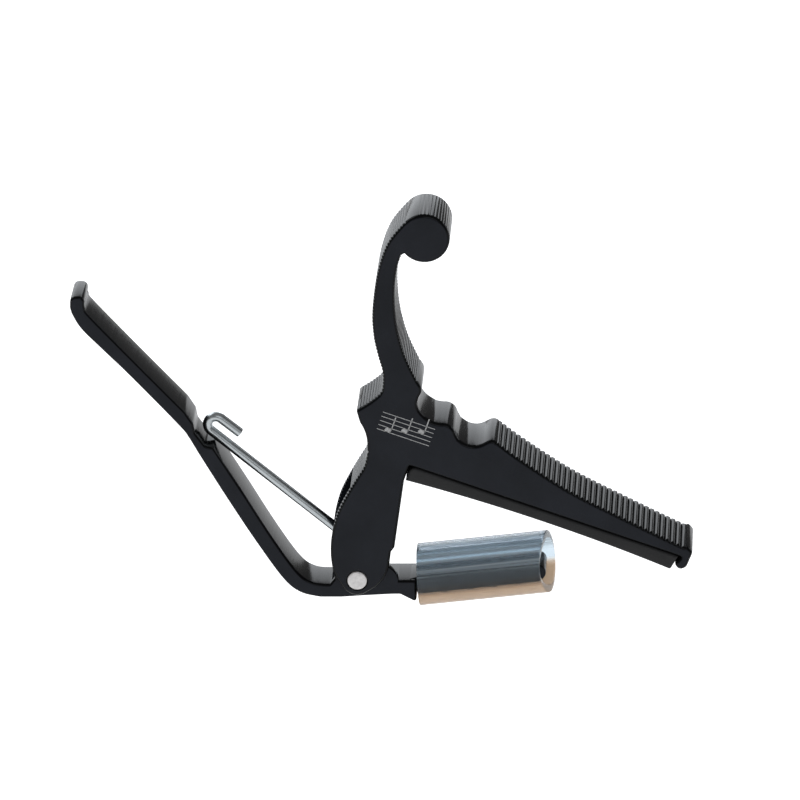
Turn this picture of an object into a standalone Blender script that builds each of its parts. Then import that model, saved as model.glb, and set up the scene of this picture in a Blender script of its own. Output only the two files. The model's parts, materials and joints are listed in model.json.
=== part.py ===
# A trigger-style guitar capo: a one-piece body with a grip arm and a jaw, a squeeze lever on a rivet,
# a torsion spring, a rubber fretboard pad and a clear sleeve. Outlines are drawn in millimetres in the
# X-Z plane about the rivet's axis, and every piece is centred on Y = 0.

from math import acos, asin, atan2, cos, degrees, hypot, pi, radians, sin

import bmesh
import bpy
from mathutils import Vector

MM = 0.001

# Driving dimensions, mm
BODY_WIDTH = 12.7
LEVER_WIDTH = 9.4
STUB_WIDTH = 7.5
EAR_WIDTH = 1.5
RIVET_RADIUS = 2.0
RIVET_PROUD = 0.1
HOLE_CLEARANCE = 0.09
DISC_RADIUS = 5.1
DISC_CENTRE = (13.4, 73.9)
LEG_END_RADIUS = 3.3
SLOT_WIDTH = 9.9
SPRING_WINDOW = 6.3

PAD_THICKNESS = 3.1
PAD_LENGTH = 56.2
PAD_CORNER = (9.8, 22.0)  # the pad's lower corner beside the leg
PAD_SLOPE = -18.9  # degrees
FRETBOARD_RADIUS = 406.0
PAD_SEAM = 0.3

SLEEVE_OUTER = 6.3
SLEEVE_INNER = 4.75
SLEEVE_LENGTH = 27.0
SLEEVE_START = (12.1, -1.06)
SLEEVE_SLOPE = 7.6  # degrees

WIRE = 2.0
COIL_RADIUS = 3.6
ARM_OFFSET = 4.6  # the straight arm's line passes this far from the rivet's axis
COIL_PITCH = 2.15
HAIRPIN_CENTRE = (-28.7, 30.9)
HAIRPIN_RADIUS = 1.65
HOOK_TAIL = 5.0
ANCHOR_TIP = (4.4, 15.0)  # where the hidden leg bears on the body's web

# The model's origin: the middle of the pad's contact face, measured from the rivet
ORIGIN = (36.7, 13.85)


def arc(centre, radius, start, end, steps):
    """Points on a circle between two angles in degrees."""
    turns = [radians(start + (end - start) * i / steps) for i in range(steps + 1)]
    return [(centre[0] + radius * cos(t), centre[1] + radius * sin(t)) for t in turns]


def smooth(points, steps=4):
    """A Catmull-Rom curve through the points."""
    padded = [points[0], *points, points[-1]]
    curve = []
    for a, b, c, d in zip(padded, padded[1:], padded[2:], padded[3:]):
        for i in range(steps):
            t = i / steps
            curve.append(
                tuple(
                    0.5 * (2 * b[k] + (c[k] - a[k]) * t + (2 * a[k] - 5 * b[k] + 4 * c[k] - d[k]) * t**2
                           + (3 * b[k] - a[k] - 3 * c[k] + d[k]) * t**3)
                    for k in range(len(b))
                )
            )
    return [*curve, points[-1]]


def rounded(corners, steps=5):
    """An open run of (x, z, radius) corners, each replaced by an arc of its radius."""
    run = []
    for i, (x, z, radius) in enumerate(corners):
        here = Vector((x, z))
        if not radius or i in (0, len(corners) - 1):
            run.append((x, z))
            continue
        back = (Vector(corners[i - 1][:2]) - here).normalized()
        ahead = (Vector(corners[i + 1][:2]) - here).normalized()
        half = acos(max(-1.0, min(1.0, back.dot(ahead)))) / 2
        middle = here + (back + ahead).normalized() * radius / sin(half)
        first = here + back * radius / (sin(half) / cos(half)) - middle
        last = here + ahead * radius / (sin(half) / cos(half)) - middle
        start = atan2(first.y, first.x)
        sweep = (atan2(last.y, last.x) - start + pi) % (2 * pi) - pi
        run += arc(middle, radius, degrees(start), degrees(start + sweep), steps)
    return run


def along(start, slope, distance, lift=0.0):
    """The point at a distance along a sloping line, and a lift square to it."""
    c, s = cos(radians(slope)), sin(radians(slope))
    return (start[0] + c * distance - s * lift, start[1] + s * distance + c * lift)


def material(name, colour, roughness, metallic=0.0):
    made = bpy.data.materials.new(name)
    made.use_nodes = True
    shader = made.node_tree.nodes["Principled BSDF"]
    shader.inputs["Base Color"].default_value = (*colour, 1.0)
    shader.inputs["Roughness"].default_value = roughness
    shader.inputs["Metallic"].default_value = metallic
    made.diffuse_color = (*colour, 1.0)
    return made


def add_object(name, mesh, parent, finish=None):
    made = bpy.data.objects.new(name, mesh)
    bpy.context.collection.objects.link(made)
    made.parent = parent
    if finish:
        mesh.materials.append(finish)
    return made


def plate(name, outline, width, parent, finish=None):
    """The outline in X-Z extruded to a width that is centred on Y = 0."""
    shape = bmesh.new()
    front = [shape.verts.new((x * MM, -width / 2 * MM, z * MM)) for x, z in outline]
    face = shape.faces.new(front)
    grown = bmesh.ops.extrude_face_region(shape, geom=[face])
    back = [v for v in grown["geom"] if isinstance(v, bmesh.types.BMVert)]
    bmesh.ops.translate(shape, verts=back, vec=(0, width * MM, 0))
    bmesh.ops.recalc_face_normals(shape, faces=shape.faces)
    mesh = bpy.data.meshes.new(name)
    shape.to_mesh(mesh)
    shape.free()
    return add_object(name, mesh, parent, finish)


def turned(name, profile, centre, slope, parent, finish=None, hollow=False, sides=48):
    """A (distance, radius) profile turned about a line in X-Z, or about the rivet's axis if slope is None.

    A hollow profile closes on itself, and any other gets a flat cap at each end.
    """
    shape = bmesh.new()
    rings = []
    for distance, radius in profile:
        ring = []
        for i in range(sides):
            t = 2 * pi * i / sides
            if slope is None:
                x, y, z = radius * cos(t), distance, radius * sin(t)
            else:
                x, z = along((0, 0), slope, distance, radius * cos(t))
                y = radius * sin(t)
            ring.append(shape.verts.new(((x + centre[0]) * MM, y * MM, (z + centre[1]) * MM)))
        rings.append(ring)
    pairs = zip(rings, rings[1:] + rings[:1]) if hollow else zip(rings, rings[1:])
    for a, b in pairs:
        for i in range(sides):
            j = (i + 1) % sides
            shape.faces.new((a[i], a[j], b[j], b[i]))
    if not hollow:
        shape.faces.new(rings[0])
        shape.faces.new(rings[-1])
    bmesh.ops.recalc_face_normals(shape, faces=shape.faces)
    mesh = bpy.data.meshes.new(name)
    shape.to_mesh(mesh)
    shape.free()
    mesh.shade_smooth()
    mesh.set_sharp_from_angle(angle=radians(30))
    return add_object(name, mesh, parent, finish)


def combine(target, tool, operation):
    """A Boolean that keeps its helper hidden."""
    tool.hide_render = True
    tool.display_type = "WIRE"
    step = target.modifiers.new(tool.name, "BOOLEAN")
    step.operation = operation
    step.solver = "EXACT"
    step.object = tool


def body_outline():
    """Anticlockwise from the top of the arm: arm, leg, pad seat, jaw tip, jaw top, finger hollows, disc."""
    arm_outer = smooth([(9.4, 77.2), (6.2, 72.9), (4.2, 67.0), (3.1, 58.6), (3.3, 53.0), (4.2, 48.6), (5.1, 45.2),
                        (5.1, 42.2), (4.6, 40.7), (2.9, 39.1), (0.6, 37.5)])
    ledge = rounded([(0.6, 37.5, 0), (-0.15, 36.9, 0.5), (0.4, 34.9, 0)])
    leg_left = smooth([(0.6, 34.3), (1.5, 32.5), (2.0, 30.4), (2.05, 27.8), (1.4, 24.9), (0.0, 22.4), (-1.9, 19.0),
                       (-4.0, 14.5), (-5.1, 9.8), (-5.35, 5.8), (-4.95, 2.3), (-4.1, 0.2)])
    leg_end = arc((0, 0), LEG_END_RADIUS, 216, 300, 12)
    leg_right = smooth([(3.7, -1.5), (5.3, 0.3), (6.3, 2.6), (6.6, 4.6), (6.8, 6.3)], 3)
    web_step = rounded([(6.8, 6.3, 0), (7.5, 7.2, 0.6), (9.45, 21.9, 0)], 3)
    seat = PAD_THICKNESS + PAD_SEAM
    seat_start = along(PAD_CORNER, PAD_SLOPE, -PAD_SEAM, seat)
    seat_end = along(PAD_CORNER, PAD_SLOPE, PAD_LENGTH + 1.2, seat)
    tip = rounded([(*seat_end, 0), (63.7, 5.0, 0.7), (64.7, 3.6, 1.0), (66.2, 4.2, 1.2), (67.5, 7.6, 0.9),
                   (66.6, 8.7, 0.9), (64.8, 9.1, 0)])
    jaw_top = smooth([(64.8, 9.15), (54.0, 14.5), (42.7, 20.4), (32.7, 27.1), (28.8, 30.1)])
    hollows = [*arc((26.9, 29.4), 1.65, 50, 118, 4), *smooth([(25.0, 30.2), (23.6, 29.8), (21.9, 30.1), (20.3, 31.2)], 4),
               *arc((17.2, 32.0), 2.5, 10, 100, 6), *smooth([(15.4, 34.7), (13.7, 35.8), (12.5, 37.2), (12.0, 38.7)], 4),
               *smooth([(12.3, 39.9), (12.95, 41.2), (12.8, 42.4)], 3)]
    arm_inner = smooth([(12.0, 43.7), (11.0, 45.8), (9.8, 48.6), (8.85, 51.6), (8.0, 55.7), (7.6, 60.4), (7.7, 64.3),
                        (8.2, 67.9), (8.9, 70.2)])
    disc = arc(DISC_CENTRE, DISC_RADIUS, 220, 500, 40)
    return [*arm_outer[:-1], *ledge, *leg_left, *leg_end, *leg_right[:-1], *web_step, seat_start, *tip, *jaw_top[1:],
            *hollows, *arm_inner, *disc]


def lever_outline():
    """Anticlockwise from the handle's tip: outer side, bend, underside, barb, stop heel, hub, inner side."""
    tip = rounded([(-54.4, 57.6, 0), (-54.3, 59.6, 1.1), (-57.2, 59.6, 1.1), (-57.3, 57.2, 0)], 5)
    outer = smooth([(-57.0, 56.0), (-55.1, 52.7), (-51.0, 48.4), (-45.4, 42.7), (-35.9, 32.4), (-33.8, 29.6),
                    (-31.7, 25.9), (-26.1, 16.4), (-20.6, 7.5), (-15.1, -0.6), (-11.6, -3.6), (-7.6, -4.6)], 4)
    under = [(-3.2, -4.5), (1.1, -4.1), (6.8, -3.65)]
    barb = rounded([(8.6, -3.6, 0), (11.5, -5.1, 0.3), (11.9, -4.7, 0)], 3)
    heel = rounded([(11.85, -0.5, 0), (5.6, -0.65, 0.4), (5.6, 6.0, 0.5), (3.0, 6.0, 1.5), (2.6, 4.6, 0)], 4)
    hub = arc((0, 0), 4.6, 75, 185, 10)
    bend = smooth([(-5.6, -1.7), (-9.0, -1.4), (-12.1, 0.8), (-16.9, 7.8), (-23.0, 18.0), (-28.7, 27.3)], 3)
    notch = rounded([(-28.9, 27.6, 0), (-30.5, 27.9, 0.6), (-32.6, 30.8, 0.6), (-33.0, 32.9, 0)], 3)
    inner = smooth([(-34.6, 35.4), (-43.9, 45.3), (-53.2, 55.4), (-54.2, 57.0)], 3)
    return [*tip, *outer, *under, *barb, *heel, *hub, *bend, *notch, *inner]


def stub_outline():
    """The barbed tongue inside the sleeve: its underside lies 2.5 mm below the sleeve's axis."""
    barbs = [along(SLEEVE_START, SLEEVE_SLOPE, 0.6, -2.5)]
    for start in (5.6, 10.9, 15.7, 20.5):
        barbs += [along(SLEEVE_START, SLEEVE_SLOPE, start - 1.6, -2.5),
                  along(SLEEVE_START, SLEEVE_SLOPE, start, -2.75),
                  along(SLEEVE_START, SLEEVE_SLOPE, start + 0.2, -2.5)]
    nose_centre = along(SLEEVE_START, SLEEVE_SLOPE, 24.2, -0.75)
    nose = arc(nose_centre, 1.75, SLEEVE_SLOPE - 90, SLEEVE_SLOPE + 90, 10)
    return [*barbs, *nose, along(SLEEVE_START, SLEEVE_SLOPE, 0.6, 1.0), (9.5, -0.8), (9.5, -3.4)]


def spring_path():
    """The wire's centre line: hidden leg, coil about the rivet, straight arm, hairpin hook and its tail."""
    reach = hypot(*ANCHOR_TIP)
    entry = degrees(atan2(ANCHOR_TIP[1], ANCHOR_TIP[0])) + degrees(acos(COIL_RADIUS / reach))
    span = hypot(*HAIRPIN_CENTRE)
    heading = degrees(atan2(HAIRPIN_CENTRE[1], HAIRPIN_CENTRE[0]))
    heading += degrees(asin((ARM_OFFSET + HAIRPIN_RADIUS) / span))
    leave = heading - 90 + 360
    turns = (leave + 360 - entry) / 360 - (1 if leave + 360 - entry > 720 else 0)
    count = 44
    half = COIL_PITCH * turns / 2
    path = [(ANCHOR_TIP[0], half, ANCHOR_TIP[1])]
    for i in range(count + 1):
        angle = radians(entry + 360 * turns * i / count)
        opening = max(0.0, 1 - (count - i) / count * turns * 3)  # the last third of a turn opens towards the arm
        radius = COIL_RADIUS + (ARM_OFFSET - COIL_RADIUS) * opening
        path.append((radius * cos(angle), half - COIL_PITCH * turns * i / count, radius * sin(angle)))
    exit_point = path[-1]
    bend = arc(HAIRPIN_CENTRE, HAIRPIN_RADIUS, heading + 90, heading - 90, 12)
    for i in range(1, 8):
        share = i / 8
        path.append((exit_point[0] + (bend[0][0] - exit_point[0]) * share, exit_point[1] * (1 - share),
                     exit_point[2] + (bend[0][1] - exit_point[2]) * share))
    path += [(x, 0.0, z) for x, z in bend]
    tail = along(bend[-1], heading + 180, HOOK_TAIL)
    return [*path, (tail[0], 0.0, tail[1])]


def wire(name, path, diameter, parent, finish):
    """A closed round wire along a path."""
    line = bpy.data.curves.new(name, "CURVE")
    line.dimensions = "3D"
    line.bevel_depth = diameter / 2 * MM
    line.bevel_resolution = 3
    line.use_fill_caps = True
    spline = line.splines.new("POLY")
    spline.points.add(len(path) - 1)
    for point, place in zip(spline.points, path):
        point.co = (place[0] * MM, place[1] * MM, place[2] * MM, 1.0)
    return add_object(name, line, parent, finish)


def make_body(root, finish):
    body = plate("body", body_outline(), BODY_WIDTH, root, finish)
    # The leg's slot opens to the left and below, and to the right under the web.
    slot = rounded([(-12.0, 19.8, 0), (1.0, 19.8, 0), (6.1, 19.8, 3.5), (5.0, 8.0, 0), (4.8, 6.35, 0), (12.0, 6.35, 0),
                    (12.0, -8.0, 0), (-12.0, -8.0, 0)], 6)
    combine(body, plate("leg_slot_cutter", slot, SLOT_WIDTH, root), "DIFFERENCE")
    bore = [(-BODY_WIDTH, RIVET_RADIUS + HOLE_CLEARANCE), (BODY_WIDTH, RIVET_RADIUS + HOLE_CLEARANCE)]
    combine(body, turned("body_bore_cutter", bore, (0, 0), None, root), "DIFFERENCE")
    return body


def make_pad(root, finish):
    """The pad's contact face is hollowed to the fretboard's radius."""
    middle = PAD_LENGTH / 2
    drop = FRETBOARD_RADIUS - (FRETBOARD_RADIUS**2 - middle**2) ** 0.5
    face = []
    for i in range(25):
        distance = PAD_LENGTH * i / 24
        rise = (FRETBOARD_RADIUS**2 - (distance - middle) ** 2) ** 0.5 - FRETBOARD_RADIUS + drop
        face.append(along(PAD_CORNER, PAD_SLOPE, distance, rise))
    top_right = along(PAD_CORNER, PAD_SLOPE, PAD_LENGTH + 0.6, PAD_THICKNESS)
    round_corner = rounded([(*top_right, 0), (*along(PAD_CORNER, PAD_SLOPE, 0.0, PAD_THICKNESS), 1.2),
                            (*PAD_CORNER, 0)], 5)
    return plate("fretboard_pad", [*face, *round_corner[:-1]], BODY_WIDTH, root, finish)


def make_lever(axis, finish):
    lever = plate("lever", lever_outline(), LEVER_WIDTH, axis, finish)
    combine(lever, plate("lever_stub_tool", stub_outline(), STUB_WIDTH, axis), "UNION")
    # A low ear on the front cheek only, beside the leg
    ear = [(4.8, -1.4), (8.1, -1.4), (8.3, -0.5), (8.0, 0.7), (7.2, 1.8), (6.2, 2.5), (4.8, 2.7)]
    ear_tool = plate("lever_ear_tool", ear, EAR_WIDTH, axis)
    ear_tool.location.y = (EAR_WIDTH - LEVER_WIDTH) / 2 * MM
    combine(lever, ear_tool, "UNION")
    # The spring's window cuts right through beside the coil, and opens over the short end above the bar's top.
    window = [(-5.3, -8.0), (5.3, -8.0), (5.3, -0.45), (9.0, -0.45), (9.0, 9.0), (-5.3, 9.0)]
    combine(lever, plate("spring_window_cutter", window, SPRING_WINDOW, axis), "DIFFERENCE")
    bore = [(-BODY_WIDTH, RIVET_RADIUS + HOLE_CLEARANCE), (BODY_WIDTH, RIVET_RADIUS + HOLE_CLEARANCE)]
    combine(lever, turned("lever_bore_cutter", bore, (0, 0), None, axis), "DIFFERENCE")
    return lever


def make_sleeve(axis, finish):
    wall = [(0, SLEEVE_INNER), (0, SLEEVE_OUTER), (SLEEVE_LENGTH, SLEEVE_OUTER), (SLEEVE_LENGTH, SLEEVE_INNER)]
    return turned("neck_sleeve", wall, SLEEVE_START, SLEEVE_SLOPE, axis, finish, hollow=True)


def make_rivet(root, finish):
    end = BODY_WIDTH / 2 + RIVET_PROUD
    profile = [(-end, RIVET_RADIUS - 0.3), (-end + 0.2, RIVET_RADIUS), (end - 0.2, RIVET_RADIUS),
               (end, RIVET_RADIUS - 0.3)]
    return turned("pivot_rivet", profile, (0, 0), None, root, finish)


def main():
    for old in list(bpy.data.objects):
        bpy.data.objects.remove(old)
    root = add_object("capo", None, None)
    root.location = (-ORIGIN[0] * MM, 0, -ORIGIN[1] * MM)
    lever_axis = add_object("lever_axis", None, root)
    coating = material("black_coated_aluminium", (0.017, 0.018, 0.020), 0.38)
    rubber = material("black_rubber", (0.020, 0.020, 0.021), 0.70)
    vinyl = material("clear_vinyl", (0.62, 0.68, 0.72), 0.15)
    steel = material("spring_steel", (0.62, 0.64, 0.65), 0.25, 1.0)
    zinc = material("bright_rivet_metal", (0.72, 0.71, 0.71), 0.35, 1.0)
    make_body(root, coating)
    make_pad(root, rubber)
    make_rivet(root, zinc)
    make_lever(lever_axis, coating)
    make_sleeve(lever_axis, vinyl)
    wire("torsion_spring", spring_path(), WIRE, lever_axis, steel)


main()
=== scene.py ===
import json
from math import acos, asin, atan2, cos, degrees, hypot, pi, radians, sin

import bmesh
import bpy
import numpy as np
from mathutils import Matrix, Vector

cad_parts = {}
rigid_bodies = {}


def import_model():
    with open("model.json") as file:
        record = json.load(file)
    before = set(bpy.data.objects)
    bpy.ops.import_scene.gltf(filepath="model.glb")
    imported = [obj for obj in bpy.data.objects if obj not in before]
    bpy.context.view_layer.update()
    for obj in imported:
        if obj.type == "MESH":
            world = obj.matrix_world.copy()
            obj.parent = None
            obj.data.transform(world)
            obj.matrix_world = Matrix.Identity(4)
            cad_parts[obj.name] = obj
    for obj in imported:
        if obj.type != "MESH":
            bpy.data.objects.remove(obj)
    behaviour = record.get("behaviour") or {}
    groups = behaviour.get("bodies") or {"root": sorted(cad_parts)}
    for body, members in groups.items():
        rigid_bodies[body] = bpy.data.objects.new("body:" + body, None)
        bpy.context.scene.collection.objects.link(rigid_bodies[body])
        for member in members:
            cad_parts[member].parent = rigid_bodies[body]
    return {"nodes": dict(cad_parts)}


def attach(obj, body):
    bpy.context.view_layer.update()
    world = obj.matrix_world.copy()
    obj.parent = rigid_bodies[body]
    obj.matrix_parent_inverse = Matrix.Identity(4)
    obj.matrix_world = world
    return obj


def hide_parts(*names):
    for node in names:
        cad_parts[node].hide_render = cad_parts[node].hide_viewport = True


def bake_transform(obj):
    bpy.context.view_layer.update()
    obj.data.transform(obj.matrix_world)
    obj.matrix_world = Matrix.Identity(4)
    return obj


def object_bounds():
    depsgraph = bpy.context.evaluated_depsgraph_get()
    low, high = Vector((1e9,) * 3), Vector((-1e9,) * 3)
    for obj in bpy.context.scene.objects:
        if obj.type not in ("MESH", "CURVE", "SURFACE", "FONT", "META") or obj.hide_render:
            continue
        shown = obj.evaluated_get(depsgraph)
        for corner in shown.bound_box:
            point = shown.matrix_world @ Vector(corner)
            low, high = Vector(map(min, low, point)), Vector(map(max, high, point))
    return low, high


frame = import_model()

# A spring capo. Outlines are in millimetres in X-Z about the rivet, and every piece is centred on Y = 0.
mm = 0.001
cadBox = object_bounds()
rivetPlace = (-36.7, -13.85)  # X and Z of the rivet in the model, mm
barWidth = 12.7
rimShare = 0.25  # the rim's grooves are this share of the grip's
print("frame loaded:", ", ".join(sorted(frame["nodes"])))


def placed(x, y, z):
    return Vector(((x + rivetPlace[0]) * mm, y * mm, (z + rivetPlace[1]) * mm))


def hexColour(text):
    channels = [int(text[i:i + 2], 16) / 255 for i in (1, 3, 5)]
    return (*[c / 12.92 if c <= 0.04045 else ((c + 0.055) / 1.055) ** 2.4 for c in channels], 1.0)


def addNode(tree, kind, settings=None, links=None):
    node = tree.nodes.new(kind)
    for name, value in (settings or {}).items():
        if isinstance(name, str) and hasattr(node, name):
            setattr(node, name, value)
        else:
            node.inputs[name].default_value = value
    for socket, source in (links or {}).items():
        tree.links.new(source, node.inputs[socket])
    return node


def newMaterial(name):
    made = bpy.data.materials.new(name)
    made.use_nodes = True
    made.node_tree.nodes.clear()
    return made, made.node_tree


def finishMaterial(tree, shader):
    addNode(tree, "ShaderNodeOutputMaterial", links={"Surface": shader.outputs[0]})


def makeCoating(values):
    # Black coated extruded aluminium: deep and glossy with die lines along Y on the extruded sides, and a
    # slightly greyer satin on the sawn and tumbled flats.
    made, tree = newMaterial(values["name"])
    place = addNode(tree, "ShaderNodeTexCoord").outputs["Object"]
    perMm = 1 / mm
    lines = addNode(tree, "ShaderNodeMapping",
                    {"Scale": (perMm / values["lineSpacing"], perMm / 40, perMm / values["lineSpacing"])},
                    {"Vector": place})
    die = addNode(tree, "ShaderNodeTexNoise", {"Scale": 1.0, "Detail": 3.0, "Roughness": 0.6},
                  {"Vector": lines.outputs[0]})
    grainPlace = addNode(tree, "ShaderNodeMapping", {"Scale": (perMm / values["grain"],) * 3},
                         {"Vector": place})
    grain = addNode(tree, "ShaderNodeTexNoise", {"Scale": 1.0, "Detail": 2.0, "Roughness": 0.5},
                    {"Vector": grainPlace.outputs[0]})
    cloudPlace = addNode(tree, "ShaderNodeMapping", {"Scale": (perMm / values["cloud"],) * 3},
                         {"Vector": place})
    cloud = addNode(tree, "ShaderNodeTexNoise", {"Scale": 1.0, "Detail": 3.0, "Roughness": 0.55},
                    {"Vector": cloudPlace.outputs[0]})
    tone = addNode(tree, "ShaderNodeValToRGB", links={"Fac": cloud.outputs["Fac"]})
    tone.color_ramp.elements[0].position, tone.color_ramp.elements[1].position = 0.3, 0.7
    tone.color_ramp.elements[0].color = hexColour(values["dark"])
    tone.color_ramp.elements[1].color = hexColour(values["light"])
    normal = addNode(tree, "ShaderNodeNewGeometry").outputs["Normal"]
    facing = addNode(tree, "ShaderNodeSeparateXYZ", links={0: normal})
    level = addNode(tree, "ShaderNodeMath", {"operation": "ABSOLUTE"}, {0: facing.outputs["Y"]})
    flat = addNode(tree, "ShaderNodeMapRange", {"From Min": 0.9, "From Max": 0.985},
                   {"Value": level.outputs[0]})
    paint = addNode(tree, "ShaderNodeMix", {"data_type": "RGBA", "A": hexColour(values["side"])},
                    {"Factor": flat.outputs["Result"], "B": tone.outputs["Color"]})
    gloss = addNode(tree, "ShaderNodeMapRange",
                    {"From Min": 0.3, "From Max": 0.7, "To Min": values["roughness"][0],
                     "To Max": values["roughness"][1]},
                    {"Value": die.outputs["Fac"]})
    mixed = addNode(tree, "ShaderNodeMath", {"operation": "MULTIPLY_ADD", 1: 0.35},
                    {0: grain.outputs["Fac"], 2: die.outputs["Fac"]})
    bump = addNode(tree, "ShaderNodeBump", {"Strength": values["bump"], "Distance": 0.04 * mm},
                   {"Height": mixed.outputs[0]})
    shader = addNode(tree, "ShaderNodeBsdfPrincipled",
                     {"IOR": 1.5, "Specular IOR Level": values["specular"]},
                     {"Base Color": paint.outputs["Result"], "Roughness": gloss.outputs["Result"],
                      "Normal": bump.outputs["Normal"]})
    finishMaterial(tree, shader)
    return made


def makeRubber(values):
    # Moulded black rubber: a matt face with a faint bloom and a fine mould texture.
    made, tree = newMaterial(values["name"])
    place = addNode(tree, "ShaderNodeTexCoord").outputs["Object"]
    grainPlace = addNode(tree, "ShaderNodeMapping", {"Scale": (1 / mm / values["grain"],) * 3},
                         {"Vector": place})
    grain = addNode(tree, "ShaderNodeTexNoise", {"Scale": 1.0, "Detail": 3.0},
                    {"Vector": grainPlace.outputs[0]})
    bloomPlace = addNode(tree, "ShaderNodeMapping", {"Scale": (1 / mm / values["bloom"],) * 3},
                         {"Vector": place})
    bloom = addNode(tree, "ShaderNodeTexNoise", {"Scale": 1.0, "Detail": 2.0},
                    {"Vector": bloomPlace.outputs[0]})
    tone = addNode(tree, "ShaderNodeValToRGB", links={"Fac": bloom.outputs["Fac"]})
    tone.color_ramp.elements[0].position, tone.color_ramp.elements[1].position = 0.3, 0.75
    tone.color_ramp.elements[0].color = hexColour(values["dark"])
    tone.color_ramp.elements[1].color = hexColour(values["light"])
    bump = addNode(tree, "ShaderNodeBump", {"Strength": 0.35, "Distance": 0.05 * mm},
                   {"Height": grain.outputs["Fac"]})
    shader = addNode(tree, "ShaderNodeBsdfPrincipled",
                     {"IOR": 1.52, "Roughness": values["roughness"], "Specular IOR Level": 0.4},
                     {"Base Color": tone.outputs["Color"], "Normal": bump.outputs["Normal"]})
    finishMaterial(tree, shader)
    return made


def makeVinyl(values):
    # Clear extruded vinyl tube: see-through with a cool cast, and milky draw lines along its upper side that
    # are kept to that side as a painted highlight, with a painted warm reflection on the lower side.
    made, tree = newMaterial(values["name"])
    place = addNode(tree, "ShaderNodeTexCoord").outputs["Object"]
    level = addNode(tree, "ShaderNodeMapping", {"Rotation": (0, radians(values["slope"]), 0)},
                    {"Vector": place})
    lines = addNode(tree, "ShaderNodeMapping", {"Scale": tuple(1 / mm / s for s in values["lines"])},
                    {"Vector": level.outputs[0]})
    draw = addNode(tree, "ShaderNodeTexNoise", {"Scale": 1.0, "Detail": 2.0, "Roughness": 0.5},
                   {"Vector": lines.outputs[0]})
    gloss = addNode(tree, "ShaderNodeMapRange",
                    {"From Min": 0.3, "From Max": 0.7, "To Min": values["roughness"][0],
                     "To Max": values["roughness"][1]},
                    {"Value": draw.outputs["Fac"]})
    bump = addNode(tree, "ShaderNodeBump", {"Strength": 0.4, "Distance": 0.04 * mm},
                   {"Height": draw.outputs["Fac"]})
    # Painted reflection: by height across the tube, the lower side is tinted warm and the upper side keeps
    # the cool cast
    centre = placed(values["centre"][0], 0, values["centre"][1])
    across = addNode(tree, "ShaderNodeVectorMath", {"operation": "SUBTRACT", 1: tuple(centre)}, {0: place})
    slope = radians(values["slope"])
    lift = addNode(tree, "ShaderNodeVectorMath",
                   {"operation": "DOT_PRODUCT", 1: (-sin(slope), 0, cos(slope))}, {0: across.outputs[0]})
    share = addNode(tree, "ShaderNodeMapRange", {"From Min": -0.005, "From Max": 0.005},
                    {"Value": lift.outputs["Value"]})
    tone = addNode(tree, "ShaderNodeValToRGB", links={"Fac": share.outputs["Result"]})
    tone.color_ramp.elements[0].position, tone.color_ramp.elements[1].position = 0.26, 0.36
    tone.color_ramp.elements[0].color = hexColour(values["under"])
    tone.color_ramp.elements[1].color = hexColour(values["upper"])
    # Painted highlight: milky haze streaks along the tube, kept to its upper side
    highlightStreak = addNode(tree, "ShaderNodeMapRange",
                     {"From Min": 0.35, "From Max": 0.65, "To Min": values["hazeAndSheenVeil"][0],
                      "To Max": values["hazeAndSheenVeil"][1]},
                     {"Value": draw.outputs["Fac"]})
    highlightBand = addNode(tree, "ShaderNodeMapRange", {"From Min": 0.57, "From Max": 0.74},
                    {"Value": share.outputs["Result"]})
    # Painted reflection: the lower side is made partly opaque so that its warm tint shows
    warmReflectionBand = addNode(tree, "ShaderNodeMapRange",
                    {"From Min": 0.32, "From Max": 0.24, "To Max": values["warmReflectionVeil"]},
                    {"Value": share.outputs["Result"]})
    # Painted highlight streaks above and a painted warm reflection below, both as haze that lets the tint
    # show
    hazeAndSheenVeil = addNode(tree, "ShaderNodeMath", {"operation": "MULTIPLY_ADD"},
                   {0: highlightStreak.outputs["Result"], 1: highlightBand.outputs["Result"], 2: warmReflectionBand.outputs["Result"]})
    clear = addNode(tree, "ShaderNodeMath", {"operation": "SUBTRACT", 0: values["clear"]},
                    {1: hazeAndSheenVeil.outputs[0]})
    shader = addNode(tree, "ShaderNodeBsdfPrincipled", {"IOR": 1.38},
                     {"Base Color": tone.outputs["Color"], "Roughness": gloss.outputs["Result"],
                      "Transmission Weight": clear.outputs[0], "Normal": bump.outputs["Normal"]})
    # The wall darkens where it is looked along, as thick clear plastic does
    inside = addNode(tree, "ShaderNodeVolumeAbsorption",
                     {"Color": hexColour(values["depthColour"]), "Density": values["density"]})
    addNode(tree, "ShaderNodeOutputMaterial",
            links={"Surface": shader.outputs[0], "Volume": inside.outputs[0]})
    return made


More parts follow.
